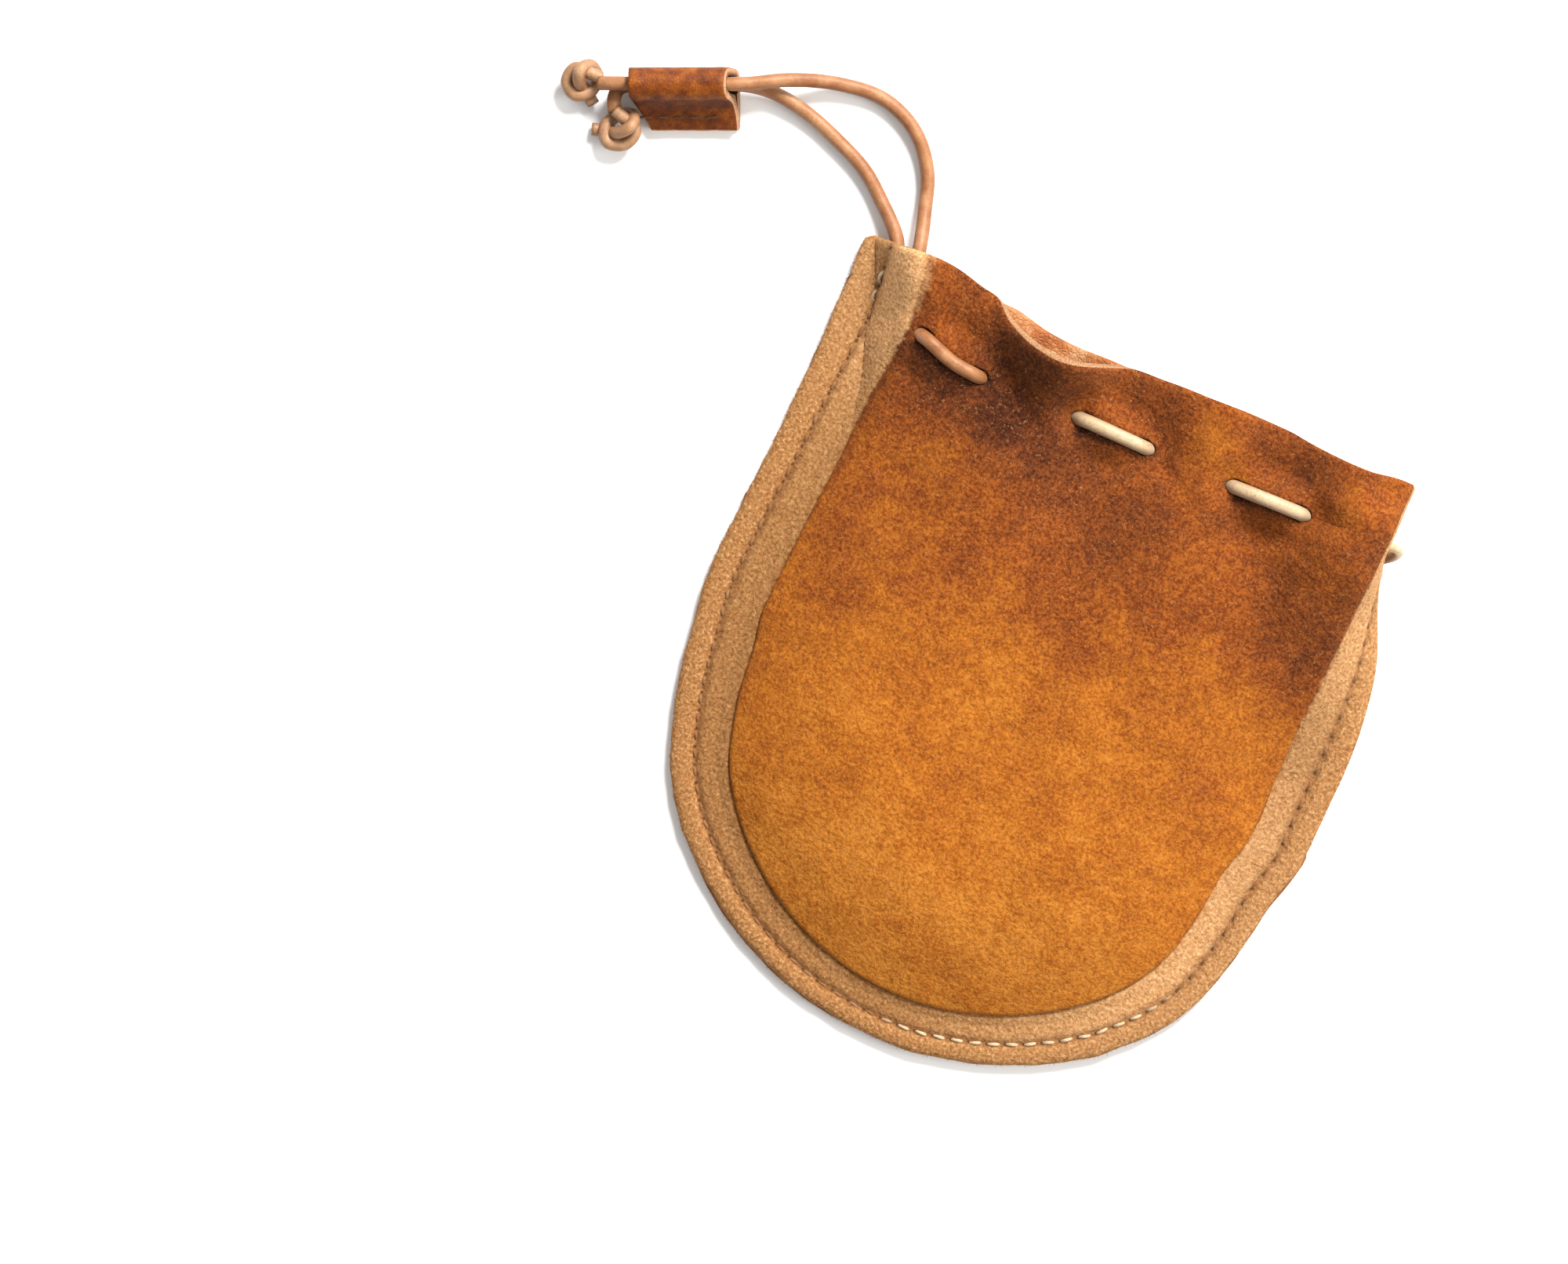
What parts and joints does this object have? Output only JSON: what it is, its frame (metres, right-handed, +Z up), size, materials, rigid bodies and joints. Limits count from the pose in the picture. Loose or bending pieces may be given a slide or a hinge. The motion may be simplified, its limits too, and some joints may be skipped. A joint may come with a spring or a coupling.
{
  "type": "drawstring coin purse",
  "caption": "Small flat leather pouch with a rounded bottom, sewn sides and a laced cord that gathers the mouth.",
  "frame": {"origin": "on the table under the back panel, 58 mm less 4 mm below the mouth line and midway between the side seams", "axes": "+X along the mouth to the right seen from above, +Y towards the mouth, +Z up from the table"},
  "size_m": [0.1545, 0.1323, 0.0167],
  "materials": {
    "front_suede": "rough suede",
    "back_suede": "rough suede",
    "cord_leather": "smooth undyed cord",
    "slider_leather": "smooth dyed grain",
    "knot_leather": "smooth undyed cord"
  },
  "bodies": {
    "root": {"front_panel": "front_suede", "back_panel": "back_suede", "drawstring": "cord_leather", "slider": "slider_leather", "knot_upper": "knot_leather", "knot_lower": "knot_leather"}
  },
  "joints": []
}
